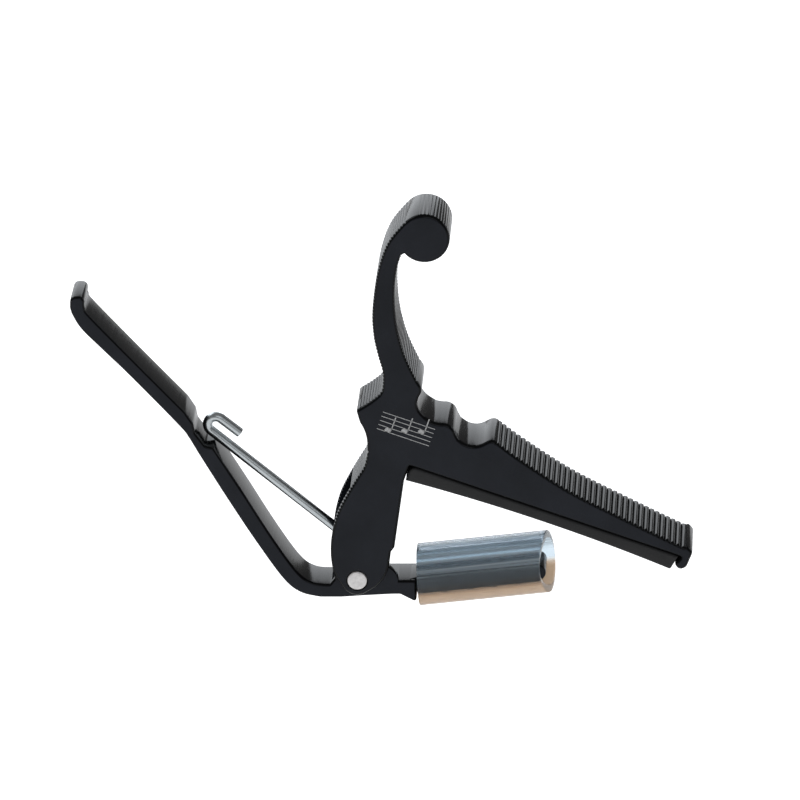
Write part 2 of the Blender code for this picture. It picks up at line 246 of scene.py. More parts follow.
def makeMetal(values):
    # Bare bright metal with the marks of how it was made: drawn along, or pressed and tumbled.
    made, tree = newMaterial(values["name"])
    place = addNode(tree, "ShaderNodeTexCoord").outputs["Object"]
    level = addNode(tree, "ShaderNodeMapping", {"Rotation": (0, radians(values["slope"]), 0)},
                    {"Vector": place})
    lines = addNode(tree, "ShaderNodeMapping", {"Scale": tuple(1 / mm / s for s in values["marks"])},
                    {"Vector": level.outputs[0]})
    marks = addNode(tree, "ShaderNodeTexNoise", {"Scale": 1.0, "Detail": 4.0, "Roughness": 0.6},
                    {"Vector": lines.outputs[0]})
    tone = addNode(tree, "ShaderNodeValToRGB", links={"Fac": marks.outputs["Fac"]})
    tone.color_ramp.elements[0].position, tone.color_ramp.elements[1].position = 0.3, 0.7
    tone.color_ramp.elements[0].color = hexColour(values["dark"])
    tone.color_ramp.elements[1].color = hexColour(values["light"])
    gloss = addNode(tree, "ShaderNodeMapRange",
                    {"From Min": 0.3, "From Max": 0.7, "To Min": values["roughness"][0],
                     "To Max": values["roughness"][1]},
                    {"Value": marks.outputs["Fac"]})
    bump = addNode(tree, "ShaderNodeBump", {"Strength": values["bump"], "Distance": 0.03 * mm},
                   {"Height": marks.outputs["Fac"]})
    shader = addNode(tree, "ShaderNodeBsdfPrincipled", {"Metallic": 1.0},
                     {"Base Color": tone.outputs["Color"], "Roughness": gloss.outputs["Result"],
                      "Normal": bump.outputs["Normal"]})
    finishMaterial(tree, shader)
    return made


def makeInk(values):
    # Pad-printed silver ink: a thin matt film, a little uneven.
    made, tree = newMaterial(values["name"])
    place = addNode(tree, "ShaderNodeTexCoord").outputs["Object"]
    speckPlace = addNode(tree, "ShaderNodeMapping", {"Scale": (1 / mm / 0.35,) * 3}, {"Vector": place})
    speck = addNode(tree, "ShaderNodeTexNoise", {"Scale": 1.0, "Detail": 3.0},
                    {"Vector": speckPlace.outputs[0]})
    tone = addNode(tree, "ShaderNodeValToRGB", links={"Fac": speck.outputs["Fac"]})
    tone.color_ramp.elements[0].position, tone.color_ramp.elements[1].position = 0.3, 0.7
    tone.color_ramp.elements[0].color = hexColour(values["dark"])
    tone.color_ramp.elements[1].color = hexColour(values["light"])
    shader = addNode(tree, "ShaderNodeBsdfPrincipled", {"Roughness": 0.55},
                     {"Base Color": tone.outputs["Color"]})
    finishMaterial(tree, shader)
    return made


materials = {
    "coating": makeCoating({"name": "blackCoatedAluminium", "dark": "#1b1e24", "light": "#23262d",
                            "side": "#07080a", "cloud": 9.0, "lineSpacing": 0.35, "grain": 0.25,
                            "roughness": (0.09, 0.2), "bump": 0.32, "specular": 0.155}),
    "rubber": makeRubber({"name": "mouldedRubber", "dark": "#1c1c1d", "light": "#262627", "grain": 0.3,
                          "bloom": 8.0, "roughness": 0.62}),
    # The vinyl's under tint is a painted warm reflection on the lower side, and its upper tint is the tube's
    # cool cast
    "vinyl": makeVinyl({"name": "clearVinylTube", "upper": "#ccd9e1", "under": "#e4c8aa", "slope": 7.6,
                        "lines": (60.0, 0.6, 0.6), "clear": 0.98, "hazeAndSheenVeil": (0.08, 0.5),
                        "warmReflectionVeil": 0.42, "depthColour": "#b9c6d6", "density": 130.0,
                        "centre": (12.1, -1.06), "roughness": (0.08, 0.16)}),
    "spring": makeMetal({"name": "drawnSpringSteel", "dark": "#b9bfc2", "light": "#d3d8da",
                         "slope": -38.6, "marks": (20.0, 0.5, 0.5), "roughness": (0.2, 0.32),
                         "bump": 0.25}),
    "rivet": makeMetal({"name": "pressedRivetSteel", "dark": "#cfcccb", "light": "#efedec",
                        "slope": 0.0, "marks": (0.9, 0.9, 0.9), "roughness": (0.38, 0.55),
                        "bump": 0.6}),
    "ink": makeInk({"name": "printedSilverInk", "dark": "#a9a9a9", "light": "#cfcfcf"}),
}
print("materials ready:", len(materials))


def arc(centre, radius, start, end, steps):
    turns = [radians(start + (end - start) * i / steps) for i in range(steps + 1)]
    return [(centre[0] + radius * cos(t), centre[1] + radius * sin(t)) for t in turns]


def smoothRun(points, steps=8):
    padded = [points[0], *points, points[-1]]
    curve = []
    for a, b, c, d in zip(padded, padded[1:], padded[2:], padded[3:]):
        for i in range(steps):
            t = i / steps
            curve.append(tuple(0.5 * (2 * b[k] + (c[k] - a[k]) * t
                                      + (2 * a[k] - 5 * b[k] + 4 * c[k] - d[k]) * t**2
                                      + (3 * b[k] - a[k] - 3 * c[k] + d[k]) * t**3) for k in range(len(b))))
    return [*curve, points[-1]]


def roundedRun(corners, steps=8):
    run = []
    for i, (x, z, radius) in enumerate(corners):
        here = Vector((x, z))
        if not radius or i in (0, len(corners) - 1):
            run.append((x, z))
            continue
        back = (Vector(corners[i - 1][:2]) - here).normalized()
        ahead = (Vector(corners[i + 1][:2]) - here).normalized()
        half = acos(max(-1.0, min(1.0, back.dot(ahead)))) / 2
        middle = here + (back + ahead).normalized() * radius / sin(half)
        first = here + back * radius / (sin(half) / cos(half)) - middle
        last = here + ahead * radius / (sin(half) / cos(half)) - middle
        start = atan2(first.y, first.x)
        sweep = (atan2(last.y, last.x) - start + pi) % (2 * pi) - pi
        run += arc(middle, radius, degrees(start), degrees(start + sweep), steps)
    return run


def along(start, slope, distance, lift=0.0):
    c, s = cos(radians(slope)), sin(radians(slope))
    return (start[0] + c * distance - s * lift, start[1] + s * distance + c * lift)


def evenly(run, count):
    # count + 1 points at equal distances along an open run
    points = np.array(run, float)
    lengths = np.hypot(*(points[1:] - points[:-1]).T)
    keep = np.concatenate([[True], lengths > 1e-6])
    points = points[keep]
    travel = np.concatenate([[0], np.cumsum(np.hypot(*(points[1:] - points[:-1]).T))])
    at = np.linspace(0, travel[-1], count + 1)
    return np.column_stack([np.interp(at, travel, points[:, k]) for k in (0, 1)]), travel[-1]


def sampledOutline(runs, step, ribs=None):
    # Each run goes on to the first point of the next, and a ribbed run is cut into whole ribs. With no
    # step, the points stay as they are.
    if not step:
        corners = [point for run, _ in runs for point in run]
        return np.array(corners, float), np.zeros(len(corners)), [None] * len(corners)
    places, phases, kinds = [], [], []
    for i, (run, kind) in enumerate(runs):
        joined = [*run, runs[(i + 1) % len(runs)][0][0]]
        length = evenly(joined, 1)[1]
        if length < 1e-4:
            continue
        if kind:
            ribCount = max(1, round(length / ribs[kind]["pitch"]))
            count = ribCount * ribs[kind]["points"]
        else:
            ribCount, count = 0, max(1, round(length / step))
        points, _ = evenly(joined, count)
        places.append(points[:-1])
        phases.append(np.linspace(0, ribCount, count + 1)[:-1])
        kinds += [kind] * count
    return np.concatenate(places), np.concatenate(phases), kinds


def insetPlaces(places, inset, window, passes=12):
    # The outline moved inwards in small steps, so that tight corners shrink without crossing
    moved = places.copy()
    for _ in range(passes):
        spans = np.hypot(*(np.roll(moved, -1, 0) - moved).T)
        travel = np.concatenate([[0], np.cumsum(spans)])
        total = travel[-1]
        here = travel[:-1]
        looped = np.concatenate([here - total, here, here + total])
        tripled = np.concatenate([moved, moved, moved])
        ahead = np.column_stack([np.interp(here + window, looped, tripled[:, k]) for k in (0, 1)])
        back = np.column_stack([np.interp(here - window, looped, tripled[:, k]) for k in (0, 1)])
        tangent = ahead - back
        tangent /= np.maximum(np.hypot(*tangent.T), 1e-9)[:, None]
        inward = np.column_stack([-tangent[:, 1], tangent[:, 0]])
        moved = moved + inward * inset / passes
        middle = (np.roll(moved, 1, 0) + np.roll(moved, -1, 0)) / 2 - moved
        slide = (middle * tangent).sum(1)[:, None] * tangent
        moved = moved + slide * 0.5
    return moved


def edgeTree():
    # Rolls the long edges over and cuts the ribs: a point goes inwards by its edge's inset or the rib groove,
    # whichever is deeper.
    tree = bpy.data.node_groups.new("edgesAndRibs", "GeometryNodeTree")
    tree.interface.new_socket("Geometry", in_out="INPUT", socket_type="NodeSocketGeometry")
    sizes = {"Jaw Rib Depth": 0.36, "Jaw Rib Sharpness": 2.2,
             "Grip Rib Depth": 0.2, "Grip Rib Sharpness": 1.5}
    for name, value in sizes.items():
        socket = tree.interface.new_socket(name, in_out="INPUT", socket_type="NodeSocketFloat")
        socket.default_value = value
    tree.interface.new_socket("Finish", in_out="INPUT", socket_type="NodeSocketMaterial")
    tree.interface.new_socket("Geometry", in_out="OUTPUT", socket_type="NodeSocketGeometry")
    given = addNode(tree, "NodeGroupInput").outputs

    def named(name, kind="FLOAT"):
        return addNode(tree, "GeometryNodeInputNamedAttribute", {"data_type": kind, "Name": name}).outputs[0]

    def maths(operation, a, b=None):
        node = addNode(tree, "ShaderNodeMath", {"operation": operation})
        for i, value in enumerate((a, b)):
            if value is None:
                continue
            if isinstance(value, (int, float)):
                node.inputs[i].default_value = value
            else:
                tree.links.new(value, node.inputs[i])
        return node.outputs[0]

    turn = maths("MULTIPLY", maths("FRACT", named("ribPhase")), pi)
    valley = maths("MAXIMUM", maths("SUBTRACT", 1.0, maths("SINE", turn)), 0.0)
    grooves = []
    for kind in ("Jaw", "Grip"):
        profile = maths("POWER", valley, given[kind + " Rib Sharpness"])
        shape = maths("MULTIPLY", profile, given[kind + " Rib Depth"])
        grooves.append(maths("MULTIPLY", shape, named(kind.lower() + "Rib")))
    groove = maths("ADD", *grooves)
    depth = maths("MULTIPLY", maths("MAXIMUM", groove, named("edgeInset")), mm)
    shift = addNode(tree, "ShaderNodeVectorMath", {"operation": "SCALE"},
                    {"Vector": named("inward", "FLOAT_VECTOR"), "Scale": depth})
    moved = addNode(tree, "GeometryNodeSetPosition",
                    links={"Geometry": given["Geometry"], "Offset": shift.outputs[0]})
    real = addNode(tree, "GeometryNodeRealizeInstances", links={"Geometry": moved.outputs[0]})
    painted = addNode(tree, "GeometryNodeSetMaterial",
                      links={"Geometry": real.outputs[0], "Material": given["Finish"]})
    addNode(tree, "NodeGroupOutput", links={"Geometry": painted.outputs[0]})
    return tree


ribEdgeTree = edgeTree()


def linked(name, mesh):
    made = bpy.data.objects.new(name, mesh)
    bpy.context.scene.collection.objects.link(made)
    return made


def settled(obj):
    # The object's evaluated shape as a plain mesh, with its modifiers gone
    bpy.context.view_layer.update()
    graph = bpy.context.evaluated_depsgraph_get()
    mesh = bpy.data.meshes.new_from_object(obj.evaluated_get(graph))
    obj.modifiers.clear()
    obj.data = mesh
    return obj


def plate(name, runs, width, edge, finish, step=0.4, ribs=None, sizes=None, steps=5):
    # The outline drawn out to a width, with rolled edges and any ribs
    places, phases, kinds = sampledOutline(runs, step, ribs)
    count = len(places)
    if edge:
        inner = insetPlaces(places, edge, max(0.3, edge * 0.6))
        inward = (inner - places) / edge
        turns = [radians(90 * i / steps) for i in range(steps + 1)]
        rings = [(edge * (1 - cos(t)), width / 2 - edge + edge * sin(t)) for t in turns]
    else:
        inward = np.zeros_like(places)
        rings = [(0.0, width / 2)]
    levels = [(inset, -y) for inset, y in reversed(rings)] + rings
    mesh = bpy.data.meshes.new(name)
    shape = bmesh.new()
    layers = {n: shape.verts.layers.float.new(n) for n in ("ribPhase", "jawRib", "gripRib", "edgeInset")}
    inwardLayer = shape.verts.layers.float_vector.new("inward")
    made = []
    for inset, y in levels:
        ring = []
        for i, (x, z) in enumerate(places):
            vert = shape.verts.new(placed(x, y, z))
            vert[layers["ribPhase"]] = phases[i]
            vert[layers["jawRib"]] = 1.0 if kinds[i] == "jaw" else 0.0
            vert[layers["gripRib"]] = {"grip": 1.0, "rim": rimShare}.get(kinds[i], 0.0)
            vert[layers["edgeInset"]] = inset
            vert[inwardLayer] = (inward[i][0], 0, inward[i][1])
            ring.append(vert)
        made.append(ring)
    for a, b in zip(made, made[1:]):
        for i in range(count):
            j = (i + 1) % count
            shape.faces.new((a[i], a[j], b[j], b[i])).smooth = True
    shape.faces.new(made[0][::-1])
    shape.faces.new(made[-1])
    bmesh.ops.recalc_face_normals(shape, faces=shape.faces)
    shape.to_mesh(mesh)
    shape.free()
    obj = linked(name, mesh)
    step = obj.modifiers.new("edges", "NODES")
    step.node_group = ribEdgeTree
    for item in ribEdgeTree.interface.items_tree:
        if item.in_out == "INPUT" and item.name in (sizes or {}):
            step[item.identifier] = sizes[item.name]
        if item.in_out == "INPUT" and item.name == "Finish":
            step[item.identifier] = finish
    return settled(obj)


def turned(name, profile, centre, slope, finish, hollow=False, sides=96, warp=None):
    # A (distance, radius) profile turned about a line in X-Z, or about the rivet if slope is None
    shape = bmesh.new()
    rings = []
    for distance, radius in profile:
        ring = []
        for i in range(sides):
            t = 2 * pi * i / sides
            reach = distance + (warp(distance, radius, t) if warp else 0.0)
            if slope is None:
                x, y, z = radius * cos(t), reach, radius * sin(t)
            else:
                x, z = along((0, 0), slope, reach, radius * cos(t))
                y = radius * sin(t)
            ring.append(shape.verts.new(placed(x + centre[0], y, z + centre[1])))
        rings.append(ring)
    pairs = zip(rings, rings[1:] + rings[:1]) if hollow else zip(rings, rings[1:])
    for a, b in pairs:
        for i in range(sides):
            j = (i + 1) % sides
            shape.faces.new((a[i], a[j], b[j], b[i])).smooth = True
    if not hollow:
        shape.faces.new(rings[0])
        shape.faces.new(rings[-1])
    bmesh.ops.recalc_face_normals(shape, faces=shape.faces)
    mesh = bpy.data.meshes.new(name)
    shape.to_mesh(mesh)
    shape.free()
    mesh.materials.append(finish)
    return linked(name, mesh)


def combined(target, tools, operation):
    for tool in tools:
        step = target.modifiers.new(tool.name, "BOOLEAN")
        step.operation = operation
        step.solver = "EXACT"
        step.object = tool
    settled(target)
    for tool in tools:
        bpy.data.objects.remove(tool)
    return target


def cleaned(obj, angle=38, smoothArea=2.5e-6):
    shape = bmesh.new()
    shape.from_mesh(obj.data)
    bmesh.ops.remove_doubles(shape, verts=shape.verts, dist=2e-7)
    bmesh.ops.dissolve_degenerate(shape, edges=shape.edges, dist=1e-7)
    for face in shape.faces:
        face.smooth = len(face.verts) < 12 and face.calc_area() < smoothArea
        face.material_index = 0
    shape.to_mesh(obj.data)
    shape.free()
    obj.data.set_sharp_from_angle(angle=radians(angle))
    while len(obj.data.materials) > 1:
        obj.data.materials.pop()
    for name in ("ribPhase", "jawRib", "gripRib", "edgeInset", "inward"):
        if name in obj.data.attributes:
            obj.data.attributes.remove(obj.data.attributes[name])
    return obj


def boreTool(name, radius, chamfer, half):
    reach = half + 2
    return turned(name, [(-reach, radius + chamfer + 2), (-half + chamfer, radius), (half - chamfer, radius),
                         (reach, radius + chamfer + 2)], (0, 0), None, materials["coating"])


bodySizes = {
    "edge": 0.74,
    "discRadius": 5.1,
    "discCentre": (13.4, 73.9),
    "legEndRadius": 3.3,
    "slotWidth": 9.9,
    "bore": 2.09,
    "boreChamfer": 0.12,
    "ribs": {"jaw": {"pitch": 1.2, "points": 12}, "grip": {"pitch": 0.74, "points": 8},
             "rim": {"pitch": 0.82, "points": 8}},
    "cuts": {"Jaw Rib Depth": 0.55, "Jaw Rib Sharpness": 1.2,
             "Grip Rib Depth": 0.30, "Grip Rib Sharpness": 1.4},
}
padSizes = {"thickness": 3.1, "length": 56.2, "corner": (9.8, 22.0), "slope": -18.9, "fretboardRadius": 406.0,
            "seam": 0.3, "bed": 0.15, "edge": 0.5}


def bodyRuns(v, pad):
    armOuter = smoothRun([(9.4, 77.2), (6.2, 72.9), (4.2, 67.0), (3.1, 58.6), (3.3, 53.0), (4.2, 48.6),
                          (5.1, 45.2), (5.1, 42.2), (4.6, 40.7), (2.9, 39.1), (0.6, 37.5)])
    cut = next(i for i, p in enumerate(armOuter) if p[1] < 44.2)
    ledge = roundedRun([(0.6, 37.5, 0), (-0.15, 36.9, 0.5), (0.4, 34.9, 0)])
    waist = smoothRun([(0.6, 34.3), (1.5, 32.5), (2.0, 30.4), (2.05, 27.8)])
    legLeft = smoothRun([(2.05, 27.8), (1.4, 24.9), (0.0, 22.4), (-1.9, 19.0), (-4.0, 14.5), (-5.1, 9.8),
                         (-5.35, 5.8), (-4.95, 2.3), (-4.1, 0.2)])
    low = next(i for i, p in enumerate(legLeft) if p[1] < 12.0)
    legEnd = arc((0, 0), v["legEndRadius"], 216, 300, 24)
    legRight = smoothRun([(3.7, -1.5), (5.3, 0.3), (6.3, 2.6), (6.6, 4.6), (6.8, 6.3)])
    webStep = roundedRun([(6.8, 6.3, 0), (7.5, 7.2, 0.6), (9.45, 21.9, 0)])
    seat = pad["thickness"] + pad["bed"]
    seatStart = along(pad["corner"], pad["slope"], -pad["seam"], seat)
    seatEnd = along(pad["corner"], pad["slope"], pad["length"] + 1.2, seat)
    tip = roundedRun([(*seatEnd, 0), (63.7, 5.0, 0.7), (64.7, 3.6, 1.0), (66.2, 4.2, 1.2), (67.5, 7.6, 0.9),
                      (66.6, 8.7, 0.9), (65.8, 8.93, 0)])
    jawTop = smoothRun([(65.8, 8.93), (64.8, 9.15), (54.0, 14.5), (42.7, 20.4), (32.7, 27.1), (28.8, 30.1)])
    hollows = [*arc((26.9, 29.4), 1.65, 50, 118, 10),
               *smoothRun([(25.0, 30.2), (23.6, 29.8), (21.9, 30.1), (20.3, 31.2)]),
               *arc((17.2, 32.0), 2.5, 10, 100, 14),
               *smoothRun([(15.4, 34.7), (13.7, 35.8), (12.5, 37.2), (12.0, 38.7)]),
               *smoothRun([(12.3, 39.9), (12.95, 41.2), (12.8, 42.4)])]
    armInner = smoothRun([(12.0, 43.7), (11.0, 45.8), (9.8, 48.6), (8.85, 51.6), (8.0, 55.7), (7.6, 60.4),
                          (7.7, 64.3), (8.2, 67.9), (8.9, 70.2)])
    disc = arc(v["discCentre"], v["discRadius"], 220, 500, 90)
    return [(armOuter[:cut], "grip"), (armOuter[cut:-1], "grip"), (ledge, None), (waist, None),
            (legLeft[:low], "grip"), (legLeft[low:], None), (legEnd, None), (legRight[:-1], None),
            (webStep, None), ([seatStart], None), (tip[:-1], None), (jawTop[:-1], "jaw"), (hollows, None),
            (armInner, "grip"), (disc[:8], None), (disc[8:78], "rim"), (disc[78:], None)]


def makeBody(v):
    body = plate("bodyBar", bodyRuns(v, padSizes), barWidth, v["edge"], materials["coating"], ribs=v["ribs"],
                 sizes=v["cuts"])
    slot = roundedRun([(-12.0, 19.8, 0), (1.0, 19.8, 0), (6.1, 19.8, 3.5), (5.0, 8.0, 0), (4.8, 6.35, 0),
                       (12.0, 6.35, 0), (12.0, -8.0, 0), (-12.0, -8.0, 0)])
    slotTool = plate("slotTool", [(slot, None)], v["slotWidth"], 0, materials["coating"], step=0)
    bore = boreTool("boreTool", v["bore"], v["boreChamfer"], barWidth / 2)
    return cleaned(combined(body, [slotTool, bore], "DIFFERENCE"))


def makePad(v):
    middle = v["length"] / 2
    drop = v["fretboardRadius"] - (v["fretboardRadius"]**2 - middle**2) ** 0.5
    face = []
    for i in range(41):
        distance = v["length"] * i / 40
        rise = (v["fretboardRadius"]**2 - (distance - middle)**2) ** 0.5 - v["fretboardRadius"] + drop
        face.append(along(v["corner"], v["slope"], distance, rise))
    topRight = along(v["corner"], v["slope"], v["length"] + 0.6, v["thickness"] + v["bed"] + 0.02)
    topLeft = along(v["corner"], v["slope"], 0.0, v["thickness"] + v["bed"] + 0.02)
    roundEnd = roundedRun([(*topRight, 0), (*topLeft, 1.2), (*v["corner"], 0)])
    outline = [([*face, *roundEnd[:-1]], None)]
    return cleaned(plate("rubberPad", outline, barWidth, v["edge"], materials["rubber"], step=0.5))


leverSizes = {"width": 9.4, "edge": 0.55, "stubWidth": 7.5, "stubEdge": 0.3, "window": 6.3, "bore": 2.09,
              "earWidth": 1.5, "earEdge": 0.3}
sleeveSizes = {"outer": 6.3, "inner": 4.75, "length": 27.0, "start": (12.1, -1.06), "slope": 7.6, "lip": 0.25,
               "skew": (0.9, 0.4, 0.8), "shear": 0.07}


def leverRuns():
    tip = roundedRun([(-54.4, 57.6, 0), (-54.3, 59.6, 1.1), (-57.2, 59.6, 1.1), (-57.3, 57.2, 0)])
    outer = smoothRun([(-57.0, 56.0), (-55.1, 52.7), (-51.0, 48.4), (-45.4, 42.7), (-35.9, 32.4),
                       (-33.8, 29.6), (-31.7, 25.9), (-26.1, 16.4), (-20.6, 7.5), (-15.1, -0.6),
                       (-11.6, -3.6), (-7.6, -4.6)])
    under = [(-3.2, -4.5), (1.1, -4.1), (6.8, -3.65)]
    barb = roundedRun([(8.6, -3.6, 0), (11.5, -5.1, 0.3), (11.9, -4.7, 0)])
    heel = roundedRun([(11.85, -0.5, 0), (5.6, -0.65, 0.4), (5.6, 6.0, 0.5), (3.0, 6.0, 1.5), (2.6, 4.6, 0)])
    hub = arc((0, 0), 4.6, 75, 185, 30)
    bend = smoothRun([(-5.6, -1.7), (-9.0, -1.4), (-12.1, 0.8), (-16.9, 7.8), (-23.0, 18.0), (-28.7, 27.3)])
    notch = roundedRun([(-28.9, 27.6, 0), (-30.5, 27.9, 0.6), (-32.6, 30.8, 0.6), (-33.0, 32.9, 0)])
    inner = smoothRun([(-34.6, 35.4), (-43.9, 45.3), (-53.2, 55.4), (-54.2, 57.0)])
    return [([*tip, *outer, *under, *barb, *heel, *hub, *bend, *notch, *inner], None)]


def stubRuns(s):
    barbs = [along(s["start"], s["slope"], 0.6, -2.5)]
    for start in (5.6, 10.9, 15.7, 20.5):
        barbs += [along(s["start"], s["slope"], start - 1.6, -2.5),
                  along(s["start"], s["slope"], start, -2.75),
                  along(s["start"], s["slope"], start + 0.2, -2.5)]
    nose = arc(along(s["start"], s["slope"], 24.2, -0.75), 1.75, s["slope"] - 90, s["slope"] + 90, 16)
    return [([*barbs, *nose, along(s["start"], s["slope"], 0.6, 1.0), (9.5, -0.8), (9.5, -3.4)], None)]


def makeLever(v):
    finish = materials["coating"]
    lever = plate("squeezeLever", leverRuns(), v["width"], v["edge"], finish, step=0.3)
    stub = plate("stubTool", stubRuns(sleeveSizes), v["stubWidth"], v["stubEdge"], finish, step=0.2)
    earRun = smoothRun([(8.1, -1.4), (8.3, -0.5), (8.0, 0.7), (7.2, 1.8), (6.2, 2.5), (4.8, 2.7)])
    ear = plate("earTool", [([(4.8, -1.4), *earRun], None)], v["earWidth"], v["earEdge"], finish, step=0.25)
    ear.data.transform(Matrix.Translation((0, (v["earWidth"] - v["width"]) / 2 * mm, 0)))
    combined(lever, [stub, ear], "UNION")
    opening = [(-5.3, -8.0), (5.3, -8.0), (5.3, -0.45), (9.0, -0.45), (9.0, 9.0), (-5.3, 9.0)]
    window = plate("windowTool", [(opening, None)], v["window"], 0, finish, step=0)
    bore = boreTool("boreTool", v["bore"], 0.1, v["width"] / 2)
    return cleaned(combined(lever, [window, bore], "DIFFERENCE"))


def makeSleeve(v):
    lip, outer, inner, length = v["lip"], v["outer"], v["inner"], v["length"]
    nip, steps = 0.07, 24
    profile = [(lip, inner), (nip, inner + 0.1), (0, inner + lip), (0, outer - lip), (nip, outer - nip),
               (lip, outer)]
    profile += [(length * i / steps, outer) for i in range(1, steps)]
    profile += [(length - lip, outer), (length - nip, outer - nip), (length, outer - lip),
                (length, inner + lip), (length - nip, inner + nip), (length - lip, inner)]
    profile += [(length * i / steps, inner) for i in range(steps - 1, 0, -1)]

    # Both ends were cut out of square, the far one back towards the front
    def cutEnds(distance, radius, t):
        end = (distance / length)**8
        cut = v["skew"][0] * sin(t) - v["skew"][1] - v["skew"][2] * max(0.0, -sin(t))**2
        return v["shear"] * radius * cos(t) * (1 - end) + cut * end

    sleeve = turned("vinylSleeve", profile, v["start"], v["slope"], materials["vinyl"], hollow=True,
                    warp=cutEnds)
    sleeve.data.set_sharp_from_angle(angle=radians(50))
    return sleeve


rivetSizes = {"radius": 2.0, "proud": 0.1}


def makeRivet(v):
    end, radius = barWidth / 2 + v["proud"], v["radius"]
    half = [(end - 0.26, radius), (end - 0.16, radius - 0.03), (end - 0.08, radius - 0.12),
            (end - 0.03, radius - 0.27), (end - 0.01, radius - 0.5), (end, 1.1), (end - 0.02, 0.75),
            (end - 0.05, 0.35)]
    profile = [(-d, r) for d, r in reversed(half)] + half
    rivet = turned("pressedRivet", profile, (0, 0), None, materials["rivet"], sides=64)
    rivet.data.set_sharp_from_angle(angle=radians(50))
    return rivet


springSizes = {"wire": 2.0, "coilRadius": 3.6, "armOffset": 4.6, "pitch": 2.15,
               "hairpinCentre": (-28.7, 30.9), "hairpinRadius": 1.65, "tail": 5.0, "anchor": (4.4, 15.0),
               "sides": 20, "chamfer": (0.12, 0.2)}


def springPath(v):
    reach = hypot(*v["anchor"])
    entry = degrees(atan2(v["anchor"][1], v["anchor"][0])) + degrees(acos(v["coilRadius"] / reach))
    span = hypot(*v["hairpinCentre"])
    heading = degrees(atan2(v["hairpinCentre"][1], v["hairpinCentre"][0]))
    heading += degrees(asin((v["armOffset"] + v["hairpinRadius"]) / span))
    leave = heading - 90 + 360
    turns = (leave + 360 - entry) / 360 - (1 if leave + 360 - entry > 720 else 0)
    count = 110
    half = v["pitch"] * turns / 2
    path = [(v["anchor"][0], half, v["anchor"][1])]
    for i in range(count + 1):
        angle = radians(entry + 360 * turns * i / count)
        opening = max(0.0, 1 - (count - i) / count * turns * 3)
        radius = v["coilRadius"] + (v["armOffset"] - v["coilRadius"]) * opening
        path.append((radius * cos(angle), half - v["pitch"] * turns * i / count, radius * sin(angle)))
    leaving = path[-1]
    bend = arc(v["hairpinCentre"], v["hairpinRadius"], heading + 90, heading - 90, 16)
    for i in range(1, 16):
        share = i / 16
        path.append((leaving[0] + (bend[0][0] - leaving[0]) * share, leaving[1] * (1 - share),
                     leaving[2] + (bend[0][1] - leaving[2]) * share))
    path += [(x, 0.0, z) for x, z in bend]
    tail = along(bend[-1], heading + 180, v["tail"])
    return [*path, (tail[0], 0.0, tail[1])]


def makeSpring(v):
    path = [Vector(p) for p in springPath(v)]
    radius, sides = v["wire"] / 2, v["sides"]
    back, cut = v["chamfer"]
    shape = bmesh.new()
    rings = []
    normal = None
    stations = []
    for i, p in enumerate(path):
        ahead = (path[min(i + 1, len(path) - 1)] - path[max(i - 1, 0)]).normalized()
        normal = ahead.orthogonal() if normal is None else normal
        normal = (normal - ahead * normal.dot(ahead)).normalized()
        if i == 0:
            stations += [(p, ahead, normal, radius - cut), (p + ahead * back, ahead, normal, radius)]
        elif i == len(path) - 1:
            stations += [(p - ahead * back, ahead, normal, radius), (p, ahead, normal, radius - cut)]
        else:
            stations.append((p, ahead, normal, radius))
    for p, ahead, side, r in stations:
        other = ahead.cross(side)
        turns = [2 * pi * k / sides for k in range(sides)]
        rings.append([shape.verts.new(placed(*(p + (side * cos(t) + other * sin(t)) * r))) for t in turns])
    for a, b in zip(rings, rings[1:]):
        for k in range(sides):
            n = (k + 1) % sides
            shape.faces.new((a[k], a[n], b[n], b[k])).smooth = True
    shape.faces.new(rings[0])
    shape.faces.new(rings[-1])
    bmesh.ops.recalc_face_normals(shape, faces=shape.faces)
    mesh = bpy.data.meshes.new("torsionWire")
    shape.to_mesh(mesh)
    shape.free()
    mesh.materials.append(materials["spring"])
    mesh.set_sharp_from_angle(angle=radians(40))
    return linked("torsionWire", mesh)


markSizes = {"corner": (4.0, 33.2), "slope": -18.9, "length": 11.0, "spacing": 0.95, "line": 0.14,
             "film": 0.03, "notes": ((2.2, 0.55), (5.4, 1.5), (8.6, 2.45)), "noteHead": (0.72, 0.5),
             "stem": 3.1}


def makeMark(v):
    # A printed scrap of music, five lines and three notes
    shape = bmesh.new()
    front = -barWidth / 2

    def film(points):
        spots = [along(v["corner"], v["slope"], a, b) for a, b in points]
        outer = [shape.verts.new(placed(x, front - v["film"], z)) for x, z in spots]
        inner = [shape.verts.new(placed(x, front + v["film"], z)) for x, z in spots]
        shape.faces.new(outer)
        shape.faces.new(inner[::-1])
        for i in range(len(points)):
            j = (i + 1) % len(points)
            shape.faces.new((outer[i], inner[i], inner[j], outer[j]))

    for i in range(5):
        low = i * v["spacing"]
        film([(0, low), (v["length"], low), (v["length"], low + v["line"]), (0, low + v["line"])])
    long, short = v["noteHead"]
    lean = 0.4
    turns = [2 * pi * k / 20 for k in range(20)]
    for a, b in v["notes"]:
        film([(a + long * cos(t) * cos(lean) - short * sin(t) * sin(lean),
               b + long * cos(t) * sin(lean) + short * sin(t) * cos(lean)) for t in turns])
        film([(a + short, b), (a + long, b), (a + long, b + v["stem"]), (a + short, b + v["stem"])])
    bmesh.ops.recalc_face_normals(shape, faces=shape.faces)
    mesh = bpy.data.meshes.new("printedNotes")
    shape.to_mesh(mesh)
    shape.free()
    mesh.materials.append(materials["ink"])
    return linked("printedNotes", mesh)


